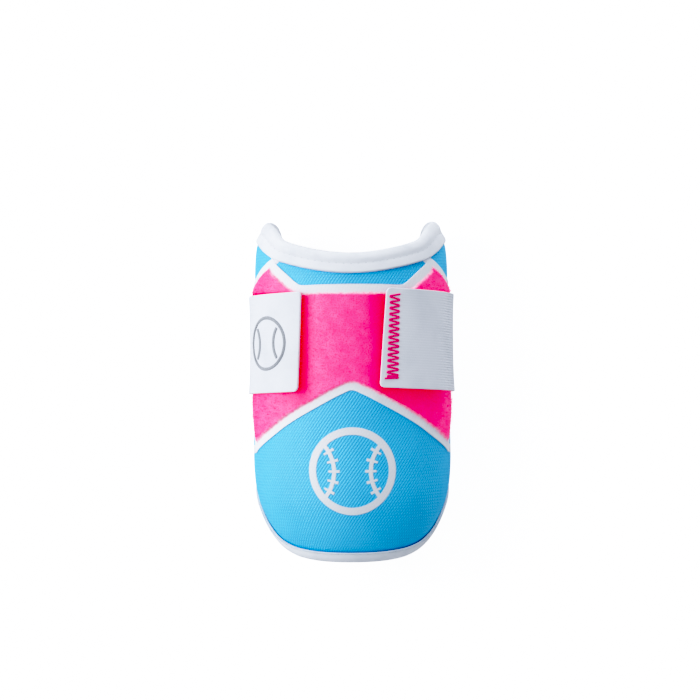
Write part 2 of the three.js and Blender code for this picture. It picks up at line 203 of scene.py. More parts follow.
def padInnerHeight(inset):
    return -guardForm["padThickness"] + guardForm["crownInner"] * crown(inset)


def roundedDrop(distance, radius):
    d = np.clip(distance, 0, radius)
    return radius - np.sqrt(np.maximum(radius ** 2 - (radius - d) ** 2, 0))


# meshes

def addObject(name, data):
    item = bpy.data.objects.new(name, data)
    scene.collection.objects.link(item)
    return item


def meshPiece(name, points, faces, uv, values):
    a, b, c, d = (points[faces[:, k]] for k in range(4))
    if np.einsum("ij,ij->i", a, np.cross(b, c) + np.cross(c, d)).sum() < 0:
        faces = faces[:, ::-1]
    mesh = bpy.data.meshes.new(name)
    mesh.from_pydata((points * mm).tolist(), [], faces.tolist())
    corner = np.empty(len(mesh.loops), np.int32)
    mesh.loops.foreach_get("vertex_index", corner)
    layer = mesh.uv_layers.new(name="flat")
    layer.data.foreach_set("uv", (uv[corner] * mm).astype(np.float32).ravel())
    for key, value in values.items():
        attribute = mesh.attributes.new(key, "FLOAT", "POINT")
        attribute.data.foreach_set("value", value.astype(np.float32).ravel())
    mesh.shade_smooth()
    mesh.update()
    return addObject(name, mesh)


def gridSolid(name, outer, inner, flat, values=None):
    # two faces on one grid, closed by a wall round its edge
    rows, cols = outer.shape[:2]
    total = rows * cols
    index = np.arange(total).reshape(rows, cols)
    quads = np.stack([index[:-1, :-1], index[:-1, 1:], index[1:, 1:], index[1:, :-1]], -1).reshape(-1, 4)
    ring = np.concatenate([index[0, :-1], index[:-1, -1], index[-1, :0:-1], index[:0:-1, 0]])
    after = np.roll(ring, -1)
    wall = np.stack([ring + total, after + total, after, ring], -1)
    faces = np.concatenate([quads, quads[:, ::-1] + total, wall])
    points = np.concatenate([outer.reshape(-1, 3), inner.reshape(-1, 3)])
    uv = np.tile(flat.reshape(-1, 2), (2, 1))
    both = {key: np.tile(value.ravel(), 2) for key, value in (values or {}).items()}
    return meshPiece(name, points, faces, uv, both)


def ringSolid(name, points, uv):
    stations, sides = points.shape[:2]
    index = np.arange(stations * sides).reshape(stations, sides)
    along, around = np.roll(index, -1, 0), np.roll(index, -1, 1)
    faces = np.stack([index, along, np.roll(along, -1, 1), around], -1).reshape(-1, 4)
    return meshPiece(name, points.reshape(-1, 3), faces, uv.reshape(-1, 2), {})


def linePiece(name, runs):
    # loose edges only, for a node tree to sweep or scatter along
    points, edges = [], []
    for run, closed in runs:
        first = len(points)
        points += (run * mm).tolist()
        edges += [(first + i, first + i + 1) for i in range(len(run) - 1)]
        if closed:
            edges.append((len(points) - 1, first))
    mesh = bpy.data.meshes.new(name)
    mesh.from_pydata(points, edges, [])
    return addObject(name, mesh)


def finishPiece(piece, material, node=None):
    piece.data.materials.clear()
    piece.data.materials.append(material)
    piece.data.polygons.foreach_set("material_index", np.zeros(len(piece.data.polygons), np.int32))
    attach(piece, "root")
    if node:
        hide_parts(node)
    return piece


def repeatPiece(name, source, tree, sizes, material):
    # runs a node tree on a source, keeps the result as a plain mesh and drops the source
    modifier = source.modifiers.new("nodes", "NODES")
    modifier.node_group = tree
    given = {**sizes, "Material": material}
    for item in tree.interface.items_tree:
        if item.in_out == "INPUT" and item.name in given:
            modifier[item.identifier] = given[item.name]
    done = source.evaluated_get(bpy.context.evaluated_depsgraph_get())
    mesh = bpy.data.meshes.new_from_object(done)
    source.modifiers.remove(modifier)
    mesh.name = name
    mesh.shade_smooth()
    piece = addObject(name, mesh)
    bpy.data.objects.remove(source)
    return finishPiece(piece, material, None)


# node helpers

def srgb(red, green, blue):
    def linear(c):
        c /= 255
        return c / 12.92 if c <= 0.04045 else ((c + 0.055) / 1.055) ** 2.4
    return (linear(red), linear(green), linear(blue), 1.0)


def wire(tree, node, wires):
    for key, value in wires.items():
        socket = node.inputs[key]
        if isinstance(value, bpy.types.NodeSocket):
            tree.links.new(value, socket)
        else:
            socket.default_value = value


def put(tree, kind, wires=None, **settings):
    node = tree.nodes.new(kind)
    for key, value in settings.items():
        setattr(node, key, value)
    wire(tree, node, wires or {})
    return node


def make(tree, kind, wires=None, **settings):
    return put(tree, kind, wires, **settings).outputs[0]


def calc(tree, operation, *values):
    return make(tree, "ShaderNodeMath", dict(enumerate(values)), operation=operation)


def ramp(tree, value, low, high, toLow=0.0, toHigh=1.0):
    wires = {"Value": value, "From Min": low, "From Max": high, "To Min": toLow, "To Max": toHigh}
    return make(tree, "ShaderNodeMapRange", wires, interpolation_type="SMOOTHSTEP")


def blendColour(tree, factor, first, second):
    return put(tree, "ShaderNodeMix", {0: factor, 6: first, 7: second}, data_type="RGBA").outputs[2]


def helpers(tree):
    return [partial(step, tree) for step in (calc, blendColour, ramp)]


def wave(work, phase):
    return work("COSINE", work("MULTIPLY", phase, math.tau))


def newTree(name, kind, inputs, outputs):
    tree = bpy.data.node_groups.new(name, kind)
    for label, socketKind, value in inputs:
        socket = tree.interface.new_socket(label, in_out="INPUT", socket_type="NodeSocket" + socketKind)
        if value is not None:
            socket.default_value = value
    for label, socketKind in outputs:
        tree.interface.new_socket(label, in_out="OUTPUT", socket_type="NodeSocket" + socketKind)
    return tree, tree.nodes.new("NodeGroupInput").outputs, tree.nodes.new("NodeGroupOutput").inputs


def repeatTree(name, sizes):
    inputs = [("Geometry", "Geometry", None), *sizes, ("Material", "Material", None)]
    return newTree(name, "GeometryNodeTree", inputs, [("Geometry", "Geometry")])


def closeTree(tree, given, out, shape):
    solid = make(tree, "GeometryNodeRealizeInstances", {"Geometry": shape})
    painted = make(tree, "GeometryNodeSetMaterial", {"Geometry": solid, "Material": given["Material"]})
    tree.links.new(painted, out[0])
    return tree


def flatMillimetres(tree):
    uv = make(tree, "ShaderNodeUVMap", uv_map="flat")
    return make(tree, "ShaderNodeVectorMath", {0: uv, "Scale": 1000.0}, operation="SCALE")


def splitFlat(tree, flat):
    return put(tree, "ShaderNodeSeparateXYZ", {0: flat}).outputs[:2]


def readAttribute(tree, name):
    return put(tree, "ShaderNodeAttribute", attribute_name=name).outputs["Fac"]


def newMaterial(name, values):
    material = bpy.data.materials.new(name)
    material.use_nodes = True
    tree = material.node_tree
    shader = tree.nodes["Principled BSDF"]
    wire(tree, shader, {"Specular IOR Level": 0.3, **values})
    return material, tree, shader


def addBump(tree, shader, height, depth):
    bump = make(tree, "ShaderNodeBump", {"Height": height, "Distance": depth * mm, "Strength": 1.0})
    tree.links.new(bump, shader.inputs["Normal"])


# knit mesh: leaning rows of short raised dashes with small holes between them
knitRelief, into, out = newTree("knitRelief", "ShaderNodeTree", [
    ("Flat", "Vector", None), ("Row Pitch", "Float", 2.1), ("Dash Pitch", "Float", 2.0),
    ("Lean", "Float", 1.05), ("Dash Share", "Float", 0.45),
], [("Height", "Float"), ("Holes", "Float")])
work = partial(calc, knitRelief)
flatX, flatY = splitFlat(knitRelief, into["Flat"])
leanCos, leanSin = work("COSINE", into["Lean"]), work("SINE", into["Lean"])
acrossRows = work("SUBTRACT", work("MULTIPLY", flatX, leanSin), work("MULTIPLY", flatY, leanCos))
alongRows = work("ADD", work("MULTIPLY", flatX, leanCos), work("MULTIPLY", flatY, leanSin))
rowPhase = work("DIVIDE", acrossRows, into["Row Pitch"])
halfStep = work("MULTIPLY", work("ROUND", rowPhase), 0.5)
ridge = work("MULTIPLY_ADD", wave(work, rowPhase), 0.5, 0.5)
ridge = work("MULTIPLY_ADD", work("POWER", ridge, 1.5), 2.0, -1.0)
dash = wave(work, work("ADD", work("DIVIDE", alongRows, into["Dash Pitch"]), halfStep))
raised = work("ADD", ridge, work("MULTIPLY", work("SUBTRACT", dash, ridge), into["Dash Share"]))
knitRelief.links.new(work("MULTIPLY_ADD", raised, 0.5, 0.5), out["Height"])
knitRelief.links.new(ramp(knitRelief, raised, -0.2, -0.75), out["Holes"])

# slow change of tone over a cloth
clothTone, into, out = newTree("clothTone", "ShaderNodeTree", [
    ("Place", "Vector", None), ("Patch Size", "Float", 24.0), ("Grain Size", "Float", 1.2),
], [("Patches", "Float"), ("Grain", "Float")])
for label, key, detail in (("Patches", "Patch Size", 3.0), ("Grain", "Grain Size", 2.0)):
    size = calc(clothTone, "DIVIDE", 1.0, into[key])
    noise = {"Vector": into["Place"], "Scale": size, "Detail": detail}
    clothTone.links.new(make(clothTone, "ShaderNodeTexNoise", noise), out[label])

# ribs of an elastic, running along its length
ribRelief, into, out = newTree("ribRelief", "ShaderNodeTree", [
    ("Across", "Float", 0.0), ("Along", "Float", 0.0),
    ("Rib Pitch", "Float", 1.3), ("Pick Pitch", "Float", 0.9),
], [("Height", "Float")])
work = partial(calc, ribRelief)
ribPhase = work("DIVIDE", into["Across"], into["Rib Pitch"])
halfStep = work("MULTIPLY", work("ROUND", ribPhase), 0.5)
pick = wave(work, work("ADD", work("DIVIDE", into["Along"], into["Pick Pitch"]), halfStep))
ribHeight = work("MULTIPLY_ADD", wave(work, ribPhase), 0.35, 0.5)
ribRelief.links.new(work("ADD", ribHeight, work("MULTIPLY", pick, 0.12)), out["Height"])


def useGroup(tree, group, wires):
    return put(tree, "ShaderNodeGroup", wires, node_tree=group).outputs


def knitOn(tree, flat, rowPitch, dashPitch, lean, dashShare):
    return useGroup(tree, knitRelief, {"Flat": flat, "Row Pitch": rowPitch, "Dash Pitch": dashPitch,
                                       "Lean": math.radians(lean), "Dash Share": dashShare})


def toneOn(tree, place, patchSize, grainSize):
    return useGroup(tree, clothTone, {"Place": place, "Patch Size": patchSize, "Grain Size": grainSize})


def ribOn(tree, across, along, ribPitch, pickPitch):
    return useGroup(tree, ribRelief, {"Across": across, "Along": along,
                                      "Rib Pitch": ribPitch, "Pick Pitch": pickPitch})["Height"]


print("shared cloth patterns made")


# the pad: foam in its printed mesh cover

padCover = {
    "columns": 210,
    "rows": 150,
    "edgeRows": (0.6, 1.4, 2.4, 3.6, 4.3, 4.7, 5.1, 5.6, 6.3, 8.0, 8.7, 9.2, 9.6, 10.1, 10.8),
    "crease": 0.4,                # the cover is drawn down beside the binding
    "creaseWidth": 0.75,
    "weave": (1.4, 2.0, 55.0, 0.42),   # row pitch, dash pitch, lean in degrees, share of dashes
    "tone": (30.0, 0.9),          # size of patches and of grain
    "blue": srgb(84, 197, 255),
    "deepBlue": srgb(0, 148, 212),
    "gloss": 2.4,                 # index of the threads' shine
    "glossRough": 0.64,
    "white": srgb(228, 230, 238),
    "whiteHoles": srgb(176, 190, 206),
    "weaveDepth": 0.27,
    "filmDepth": 0.35,
    "ballPlace": (0.0, -42.0),    # plain ball printed on the foot
    "ballRadius": 21.0,
    "ballLine": 2.0,
    "seamOffset": 30.0,
    "seamRadius": 20.5,
    "seamShare": 0.55,            # half widths of seam and stitches, of the ball's line
    "tickShare": 1.5,
    "tickCount": 24.0,
    "stripe": [(64.0, -30.9), (101.0, -34.5)],   # white stripe from the panel's corner to the rear
    "stripeHalf": 2.3,
    "neckPlace": (44.9, 70.3),    # the panel's white border runs on to the binding here
    "neckRadius": 3.7,
    "neckLift": 0.5,
    "neckClear": 4.5,             # no crease within this distance of it
}


def fromPoint(work, x, y, centre):
    dx, dy = work("SUBTRACT", x, centre[0]), work("SUBTRACT", y, centre[1])
    return work("SQRT", work("ADD", work("MULTIPLY", dx, dx), work("MULTIPLY", dy, dy))), dx, dy


def ringMask(tree, away, radius, half):
    soft = 0.25
    off = calc(tree, "ABSOLUTE", calc(tree, "SUBTRACT", away, radius))
    return ramp(tree, off, half + soft, half - soft)


def coverMaterial(form):
    gloss = {"Roughness": form["glossRough"], "Specular IOR Level": 0.5, "IOR": form["gloss"]}
    material, tree, shader = newMaterial("printed_mesh", gloss)
    work, mix, fade = helpers(tree)
    flat = flatMillimetres(tree)
    girth, along = splitFlat(tree, flat)
    weave = knitOn(tree, flat, *form["weave"])
    tone = toneOn(tree, flat, *form["tone"])
    # printed ball: a ring and two stitched seam lines inside it
    side = work("ABSOLUTE", girth)
    radius, line = form["ballRadius"], form["ballLine"]
    away = fromPoint(work, side, along, form["ballPlace"])[0]
    seamAway, sx, sy = fromPoint(work, side, along, (form["seamOffset"], form["ballPlace"][1]))
    seam = ringMask(tree, seamAway, form["seamRadius"], line * form["seamShare"])
    ticks = ringMask(tree, seamAway, form["seamRadius"], line * form["tickShare"])
    turn = work("MULTIPLY", work("ARCTAN2", sy, sx), form["tickCount"])
    ticks = work("MULTIPLY", ticks, fade(work("COSINE", turn), 0.55, 0.8))
    seam = work("MULTIPLY", work("MAXIMUM", seam, ticks), fade(away, radius, radius - 0.5))
    ball = work("MAXIMUM", ringMask(tree, away, radius, line), seam)
    # stripe on each side, from the panel's lower corner backwards
    (x0, y0), (x1, y1) = form["stripe"]
    middle = work("MULTIPLY_ADD", work("SUBTRACT", side, x0), (y1 - y0) / (x1 - x0), y0)
    off = work("ABSOLUTE", work("SUBTRACT", along, middle))
    stripe = fade(off, form["stripeHalf"] + 0.2, form["stripeHalf"] - 0.2)
    stripe = work("MULTIPLY", stripe, fade(side, x0 - 1, x0 + 0.5))
    neck = ringMask(tree, fromPoint(work, side, along, form["neckPlace"])[0], 0.0, form["neckRadius"])
    mask = work("MAXIMUM", work("MAXIMUM", ball, stripe), neck)
    ground = mix(work("MULTIPLY", weave["Holes"], 0.6), form["blue"], form["deepBlue"])
    ground = mix(fade(tone["Patches"], 0.35, 0.7, 0.0, 0.16), ground, form["deepBlue"])
    white = mix(work("MULTIPLY", weave["Holes"], 0.12), form["white"], form["whiteHoles"])
    wire(tree, shader, {"Base Color": mix(mask, ground, white)})
    height = work("MULTIPLY_ADD", tone["Grain"], 0.25, weave["Height"])
    film = work("MULTIPLY_ADD", weave["Height"], 0.2, form["filmDepth"] / form["weaveDepth"])
    addBump(tree, shader, make(tree, "ShaderNodeMix", {0: ball, 2: height, 3: film}), form["weaveDepth"])
    return material


flat = outlinePatch(padEdge, guardForm["padCorners"], padCover, guardForm["patchSize"])
inset, nearPlace = edgeDistance(padEdge, flat)
crease = np.exp(-((inset - edgeBand(padEdge, nearPlace)) / padCover["creaseWidth"]) ** 2)
neckX, neckY = padCover["neckPlace"]
neckAway = np.hypot(np.abs(flat[..., 0]) - neckX, flat[..., 1] - neckY)
crease *= 1 - np.exp(-(neckAway / padCover["neckClear"]) ** 4)
neckLift = padCover["neckLift"] * np.exp(-(neckAway / padCover["neckRadius"]) ** 4)
padOuter = layOn(flat, coverHeight(inset) + neckLift - padCover["crease"] * crease)
pad = gridSolid("pad_cover", padOuter, layOn(flat, padInnerHeight(inset)), flat)
finishPiece(pad, coverMaterial(padCover), "pad")
print("pad made")


# the lining on the inner face

lining = {
    "columns": 120,
    "rows": 84,
    "edgeRows": (1.5, 4.0),
    "weave": (2.6, 2.6, 45.0, 0.5),
    "tone": (18.0, 0.8),
    "grey": srgb(205, 209, 216),
    "shade": srgb(150, 156, 168),
    "knitDepth": 0.2,
}


def liningMaterial(form):
    cloth = {"Roughness": 0.85, "Sheen Weight": 0.3, "Sheen Roughness": 0.6}
    material, tree, shader = newMaterial("lining_knit", cloth)
    work, mix, fade = helpers(tree)
    flat = flatMillimetres(tree)
    knit = knitOn(tree, flat, *form["weave"])
    tone = toneOn(tree, flat, *form["tone"])
    colour = mix(work("MULTIPLY", knit["Holes"], 0.7), form["grey"], form["shade"])
    colour = mix(fade(tone["Patches"], 0.4, 0.75, 0.0, 0.2), colour, form["shade"])
    wire(tree, shader, {"Base Color": colour})
    addBump(tree, shader, work("MULTIPLY_ADD", tone["Grain"], 0.3, knit["Height"]), form["knitDepth"])
    return material


flat = outlinePatch(padEdge, guardForm["padCorners"], lining, guardForm["patchSize"])
liningTop = padInnerHeight(edgeDistance(padEdge, flat)[0]) - guardForm["layerGap"]
liningFoot = liningTop - guardForm["liningThickness"]
liningCloth = gridSolid("lining_cloth", layOn(flat, liningTop), layOn(flat, liningFoot), flat)
finishPiece(liningCloth, liningMaterial(lining), "lining")
innerShare = (refWidth - guardForm["padThickness"] - guardForm["layerGap"]) / refWidth
flatArea(padEdge) * innerShare
print("lining made")


# the loop panel across the front

loopPanel = {
    "columns": 200,
    "rows": 150,
    "edgeRows": (0.08, 0.22, 0.42, 0.9, 1.9, 2.9, 3.9, 4.25, 4.5, 4.8, 5.1, 5.5),
    "patchSize": (180.0, 95.0),
    "seat": 0.1,
    "borderTop": 0.6,
    "top": 1.7,
    "edgeRound": 0.3,
    "shoulder": 0.9,          # the pink field rises over this width
    "shoulderStart": 0.5,     # from this far outside its edge
    "weave": (1.75, 2.4, 64.0, 0.28),
    "tone": (7.0, 0.75),
    "fuzz": (2.2, 1.0),
    "pink": srgb(255, 68, 140),
    "deepPink": srgb(240, 10, 90),
    "palePink": srgb(255, 108, 168),
    # painted shade colour for the nap beside and below the strap's ends
    "shadedPink": srgb(220, 30, 78),
    "paintedGlowPink": srgb(250, 52, 128),
    "sheenPink": srgb(255, 192, 230),
    "strapTop": 51.6,
    "strapFoot": 1.6,
    "shadeReach": ((2.2, 9.5), (0.2, 14.0)),   # painted shade beside the strap's left and right ends, where the nap is also pressed flat
    "shadeGirth": (-26.9, 15.9),
    "shadeBelow": ((0.0, 18.0, 8.0), (30.0, 16.0, 15.0)),   # width, fade and drop below the strap's foot
    "shadeAbove": 0.4,
    "shadeDull": 0.78,      # share of the shine taken out in the painted shade beside the strap
    "paintedGlow": 0.46,             # painted glow: the neon pink gives off light of its own and stays bright in shade
    "gloss": 2.4,             # index of the fibres' shine
    "glossRough": 0.64,
    "sheen": 0.6,
    "sheenRough": 0.26,
    "raggedWidth": 1.8,       # the nap's edge strays this far over the white border
    "white": srgb(236, 239, 245),
    "whiteHoles": srgb(190, 200, 214),
    "napDepth": 0.25,
    "napStart": -0.2,
    "napArea": 0.0135,        # square metres that the fibres are shared over
    "fibres": 9000,
    "fibreLength": 1.1,
    "fibreThick": 0.06,
    "fibreTone": (0.007, 0.0008),
    "seed": 7,
    "edge": [                 # girth, y, white border; right half from the top to the chevron's apex
        (0, 55.2, 4.7), (14, 55.2, 4.7), (27.7, 55.3, 4.8), (29.9, 56.4, 5.2), (37, 61.8, 5.8),
        (43.8, 66.6, 6.0), (46.6, 69.4, 5.0), (55.5, 65.8, 4.2), (65, 60.8, 4.2), (76, 56.2, 4.2),
        (85, 47.0, 4.2), (90, 32.0, 4.2), (88, 14.0, 4.2), (80, -3.0, 4.2), (72, -17.0, 4.4),
        (66.5, -28.0, 4.7), (65, -33.2, 4.7), (59.4, -30.8, 4.7), (48, -25.2, 4.7), (34, -17.0, 4.7),
        (20, -9.4, 4.7), (5, -1.6, 4.7), (0, 0.2, 4.7),
    ],
    "corners": (6, 16),
}
panelEdge = loopPanel["edge"]


def borderWeave(tree, form, flat):
    weave = knitOn(tree, flat, *form["weave"])
    holes = calc(tree, "MULTIPLY", weave["Holes"], 0.07)
    white = blendColour(tree, holes, form["white"], form["whiteHoles"])
    return white, calc(tree, "MULTIPLY", weave["Height"], 0.15)


def borderMaterial(form):
    material, tree, shader = newMaterial("woven_border", {"Roughness": 0.9, "Specular IOR Level": 0.1})
    white, height = borderWeave(tree, form, flatMillimetres(tree))
    wire(tree, shader, {"Base Color": white})
    addBump(tree, shader, height, form["napDepth"])
    return material


def loopMaterial(form):
    material, tree, shader = newMaterial("brushed_loop", {
        "Roughness": 0.9, "Specular IOR Level": 0.1,
        "Sheen Weight": form["sheen"], "Sheen Roughness": form["sheenRough"], "Sheen Tint": form["sheenPink"],
        "Coat IOR": form["gloss"], "Coat Roughness": form["glossRough"], "Emission Strength": form["paintedGlow"],
    })
    work, mix, fade = helpers(tree)
    flat = flatMillimetres(tree)
    tone = toneOn(tree, flat, *form["tone"])
    fuzz = toneOn(tree, flat, *form["fuzz"])
    stray = work("MULTIPLY_ADD", fuzz["Patches"], 1.6, -0.8)
    mask = fade(work("ADD", readAttribute(tree, "field"), stray), -1.4, 0.8)
    pressedAndShaded = readAttribute(tree, "pressedAndShaded")
    pink = mix(fade(tone["Patches"], 0.38, 0.66, 0.0, 0.6), form["pink"], form["palePink"])
    pink = mix(fade(tone["Grain"], 0.48, 0.66, 0.0, 0.75), pink, form["deepPink"])
    # painted shade: the pink deepens beside and below the strap's ends, where the nap is also pressed flat
    pink = mix(pressedAndShaded, pink, form["shadedPink"])
    white, flatHeight = borderWeave(tree, form, flat)
    # the coat's shine is taken out in the same painted shade
    unshadedShine = work("MULTIPLY", mask, work("MULTIPLY_ADD", pressedAndShaded, -form["shadeDull"], 1.0))
    wire(tree, shader, {
        "Base Color": mix(mask, white, pink),
        "Coat Weight": unshadedShine,
        # painted glow on the pink field, light the cloth gives off though it is no lamp
        "Emission Color": mix(mask, (0, 0, 0, 1), form["paintedGlowPink"]),
    })
    nap = work("ADD", work("MULTIPLY", tone["Grain"], 0.9), work("MULTIPLY", fuzz["Patches"], 0.8))
    addBump(tree, shader, make(tree, "ShaderNodeMix", {0: mask, 2: flatHeight, 3: nap}), form["napDepth"])
    return material


def fibreMaterial(form):
    # the fibres carry the same painted glow as the pink field
    material, tree, shader = newMaterial("loop_fibre", {
        "Roughness": form["glossRough"], "Specular IOR Level": 0.5, "IOR": form["gloss"],
        "Emission Color": form["paintedGlowPink"], "Emission Strength": form["paintedGlow"],
    })
    tone = toneOn(tree, put(tree, "ShaderNodeTexCoord").outputs["Object"], *form["fibreTone"])
    deep = ramp(tree, tone["Grain"], 0.4, 0.65)
    wire(tree, shader, {"Base Color": blendColour(tree, deep, form["pink"], form["deepPink"])})
    return material


def napTree():
    # short curled fibres scattered over a surface, standing on its normals
    tree, given, out = repeatTree("napFibres", [
        ("Density", "Float", 1000.0), ("Length", "Float", 0.001),
        ("Thickness", "Float", 0.0001), ("Seed", "Int", 1)])
    mask = make(tree, "GeometryNodeInputNamedAttribute", {"Name": "nap"}, data_type="FLOAT")
    density = calc(tree, "MULTIPLY", mask, given["Density"])
    spread = put(tree, "GeometryNodeDistributePointsOnFaces", {
        "Mesh": given["Geometry"], "Density": density, "Seed": given["Seed"]})
    aside, up, bend = (calc(tree, "MULTIPLY", given["Length"], share) for share in (0.55, 0.62, 0.75))
    curl = make(tree, "GeometryNodeCurveQuadraticBezier", {
        "Resolution": 3, "Start": (0, 0, 0),
        "Middle": make(tree, "ShaderNodeCombineXYZ", {"Z": bend}),
        "End": make(tree, "ShaderNodeCombineXYZ", {"X": aside, "Z": up})})
    profile = make(tree, "GeometryNodeCurvePrimitiveCircle", {"Resolution": 3, "Radius": given["Thickness"]})
    fibre = make(tree, "GeometryNodeCurveToMesh", {"Curve": curl, "Profile Curve": profile})
    turn = make(tree, "FunctionNodeRandomValue", {
        "Min": (-0.5, -0.5, 0.0), "Max": (0.5, 0.5, math.tau), "Seed": given["Seed"]}, data_type="FLOAT_VECTOR")
    turned = make(tree, "FunctionNodeRotateRotation", {
        "Rotation": spread.outputs["Rotation"], "Rotate By": turn}, rotation_space="LOCAL")
    size = put(tree, "FunctionNodeRandomValue", {2: 0.6, 3: 1.25}, data_type="FLOAT").outputs[1]
    placed = make(tree, "GeometryNodeInstanceOnPoints", {
        "Points": spread.outputs["Points"], "Instance": fibre, "Rotation": turned, "Scale": size})
    return closeTree(tree, given, out, placed)


flat = outlinePatch(panelEdge, loopPanel["corners"], loopPanel, loopPanel["patchSize"])
panelSeat = coverHeight(edgeDistance(padEdge, flat)[0])
panelInset, nearPlace = edgeDistance(panelEdge, flat)
# painted shade on the nap beside and below the strap's ends, where the strap would shade it; the nap there is
# also pressed flat
pressedAndShaded = np.zeros(panelInset.shape)
below = np.maximum(loopPanel["strapFoot"] - flat[..., 1], 0)
for side, stop, (full, gone), (wide, fade, drop) in zip(
        (1, -1), loopPanel["shadeGirth"], loopPanel["shadeReach"], loopPanel["shadeBelow"]):
    beside = side * (flat[..., 0] - stop)
    away = np.clip((beside - full) / (gone - full), 0, 1)
    under = np.clip((beside + wide + fade) / fade, 0, 1)
    pressedAndShaded = np.maximum(pressedAndShaded, (1 - away) ** 2 * np.where(below > 0, under * np.exp(-below / drop), 1))
pressedAndShaded *= np.exp(-np.maximum(flat[..., 1] - loopPanel["strapTop"], 0) / loopPanel["shadeAbove"])
pinkInset = panelInset - edgeBand(panelEdge, nearPlace)
rise = np.clip((pinkInset + loopPanel["shoulderStart"]) / loopPanel["shoulder"], 0, 1)
rise = np.sin(rise * math.pi / 2)
panelTop = panelSeat - roundedDrop(panelInset, loopPanel["edgeRound"])
panelTop += loopPanel["borderTop"] + (loopPanel["top"] - loopPanel["borderTop"]) * rise
panelFoot = panelSeat + loopPanel["seat"]
loopCloth = gridSolid("loop_panel_cloth", layOn(flat, panelTop), layOn(flat, panelFoot), flat,
                      {"field": pinkInset, "pressedAndShaded": pressedAndShaded})
finishPiece(loopCloth, loopMaterial(loopPanel), "loop_panel")
loopCloth.data.materials.append(borderMaterial(loopPanel))
quadInset = (pinkInset[:-1, :-1] + pinkInset[:-1, 1:] + pinkInset[1:, :-1] + pinkInset[1:, 1:]) / 4
onBorder = np.ones(len(loopCloth.data.polygons), np.int32)
onBorder[:quadInset.size] = quadInset.ravel() < -loopPanel["raggedWidth"]
loopCloth.data.polygons.foreach_set("material_index", onBorder)

# short nap standing on the pink field
pinkField = (pinkInset > loopPanel["napStart"]).astype(np.float32).ravel()
napSource = addObject("nap_source", loopCloth.data.copy())
napSource.data.materials.clear()
mask = napSource.data.attributes.new("nap", "FLOAT", "POINT")
mask.data.foreach_set("value", np.concatenate([pinkField, np.zeros_like(pinkField)]))
nap = repeatPiece("loop_nap", napSource, napTree(), {
    "Density": loopPanel["fibres"] / loopPanel["napArea"],
    "Length": loopPanel["fibreLength"] * mm,
    "Thickness": loopPanel["fibreThick"] * mm,
    "Seed": loopPanel["seed"],
}, fibreMaterial(loopPanel))
flatArea(panelEdge)
print("nap faces:", len(nap.data.polygons))
print("loop panel made")


# the rolled binding round the edge

binding = {
    "stations": 900,
    "sideSteps": 3,           # samples between two rows of the section
    "flangeRows": [           # share of the way to the roll, shift, share of the lift
        (0, 0.05, 0.55), (0, -0.35, 1.0), (1 / 3, 0, 1.0), (2 / 3, 0, 0.97),
    ],
    "outerRows": [            # inset from the edge, height over the cover
        (4.3, 1.42), (3.4, 1.62), (2.2, 1.94), (1.0, 2.0), (-0.5, 1.5), (-1.35, 0.5),
    ],
    "innerRows": [            # inset from the edge, height under the lining
        (-1.2, 0.3), (-0.3, 0.9), (1.2, 1.15), (3.0, 1.15), (4.4, 0.95),
    ],
    "seatRows": (1.5, -0.3),
    "rollClear": 0.45,
    "nose": -1.75,
    "flangeLift": 1.5,
    "seat": 0.12,
    "aroundStep": 0.75,
    "seamInset": 4.35,
    "seamHeight": 1.38,
    "seamPitch": 3.9,
    "seamDip": 0.07,
    "dipWidth": 0.55,
    "dipFloor": -2.0,         # only the outer side is drawn down
    "dipShare": 0.45,
    "stitchLength": 1.2,
    "stitchThick": 0.14,
    "rib": (0.8, 0.8),        # rib pitch, pick pitch
    "tone": (14.0, 0.7),
    "white": srgb(230, 233, 240),
    "shade": srgb(200, 206, 217),
    "thread": srgb(206, 209, 217),
    "deepThread": srgb(196, 200, 209),
    "knitDepth": 0.07,
    "cutWidth": 18.0,         # the strip before it is folded round the edge
}


def bindingMaterial(form):
    cloth = {"Roughness": 0.6, "Sheen Weight": 0.2, "Sheen Roughness": 0.4}
    material, tree, shader = newMaterial("binding_cloth", cloth)
    work, mix, fade = helpers(tree)
    flat = flatMillimetres(tree)
    along, around = splitFlat(tree, flat)
    rib = ribOn(tree, around, along, *form["rib"])
    tone = toneOn(tree, flat, *form["tone"])
    wire(tree, shader, {
        "Base Color": mix(fade(tone["Patches"], 0.42, 0.8, 0.0, 0.4), form["white"], form["shade"]),
        "Roughness": work("MULTIPLY_ADD", tone["Grain"], 0.2, 0.48),
    })
    addBump(tree, shader, work("ADD", rib, work("MULTIPLY", tone["Patches"], 0.8)), form["knitDepth"])
    return material


def threadMaterial(name, colour, deep):
    cloth = {"Roughness": 0.55, "Sheen Weight": 0.2, "Sheen Roughness": 0.4}
    material, tree, shader = newMaterial(name, cloth)
    tone = toneOn(tree, put(tree, "ShaderNodeTexCoord").outputs["Object"], 0.004, 0.0006)
    wire(tree, shader, {"Base Color": blendColour(tree, ramp(tree, tone["Grain"], 0.35, 0.7), colour, deep)})
    addBump(tree, shader, tone["Grain"], 0.08)
    return material


